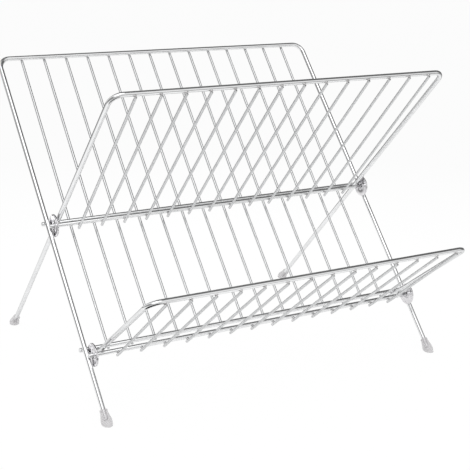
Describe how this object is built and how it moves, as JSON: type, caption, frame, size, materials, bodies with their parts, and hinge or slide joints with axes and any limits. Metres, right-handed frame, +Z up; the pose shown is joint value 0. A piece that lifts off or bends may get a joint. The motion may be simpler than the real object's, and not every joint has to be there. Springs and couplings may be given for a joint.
{
  "type": "dish drying rack",
  "caption": "Folding two-tier wire dish drying rack: two slatted frames cross on a pivot like an X, with a slatted tray hinged at the lower front and plastic foot caps.",
  "frame": {"origin": "on the surface the rack stands on, under the middle of its bounding box", "axes": "+X to the user's right along the slat row, +Y from the front to the back, +Z up"},
  "size_m": [0.463, 0.425, 0.3642],
  "materials": {
    "wire": "bright chrome plate",
    "pivot_plates": "bright chrome plate over pressed steel",
    "foot_caps": "clear soft plastic, slightly milky"
  },
  "bodies": {
    "main_frame": {"main_frame_rod": "wire", "main_upper_crossbar": "wire", "main_lower_crossbar": "wire", "main_slat_01": "wire", "main_slat_02": "wire", "main_slat_03": "wire", "main_slat_04": "wire", "main_slat_05": "wire", "main_slat_06": "wire", "main_slat_07": "wire", "main_slat_08": "wire", "main_slat_09": "wire", "main_slat_10": "wire", "main_slat_11": "wire", "main_slat_12": "wire", "main_slat_13": "wire", "main_slat_14": "wire", "upper_pivot_plate_left": "pivot_plates", "upper_pivot_plate_right": "pivot_plates", "lower_pivot_plate_left": "pivot_plates", "lower_pivot_plate_right": "pivot_plates", "front_foot_cap_left": "foot_caps", "front_foot_cap_right": "foot_caps"},
    "upper_frame": {"upper_frame_rod": "wire", "upper_pivot_crossbar": "wire", "upper_slat_01": "wire", "upper_slat_02": "wire", "upper_slat_03": "wire", "upper_slat_04": "wire", "upper_slat_05": "wire", "upper_slat_06": "wire", "upper_slat_07": "wire", "upper_slat_08": "wire", "upper_slat_09": "wire", "upper_slat_10": "wire", "upper_slat_11": "wire", "upper_slat_12": "wire", "upper_slat_13": "wire", "upper_slat_14": "wire", "rear_foot_cap_left": "foot_caps", "rear_foot_cap_right": "foot_caps"},
    "tray": {"tray_frame_rod": "wire", "tray_pivot_crossbar": "wire", "tray_slat_01": "wire", "tray_slat_02": "wire", "tray_slat_03": "wire", "tray_slat_04": "wire", "tray_slat_05": "wire", "tray_slat_06": "wire", "tray_slat_07": "wire", "tray_slat_08": "wire", "tray_slat_09": "wire", "tray_slat_10": "wire", "tray_slat_11": "wire", "tray_slat_12": "wire", "tray_slat_13": "wire", "tray_slat_14": "wire"}
  },
  "joints": [
    {"name": "upper_frame_fold", "type": "hinge", "parent": "main_frame", "child": "upper_frame", "pos_m": [0, 0.02118, 0.18589], "axis": [-1, 0, 0], "range_deg": [0, 80]},
    {"name": "tray_fold", "type": "hinge", "parent": "main_frame", "child": "tray", "pos_m": [0, -0.08905, 0.06432], "axis": [-1, 0, 0], "range_deg": [0, 98]}
  ]
}
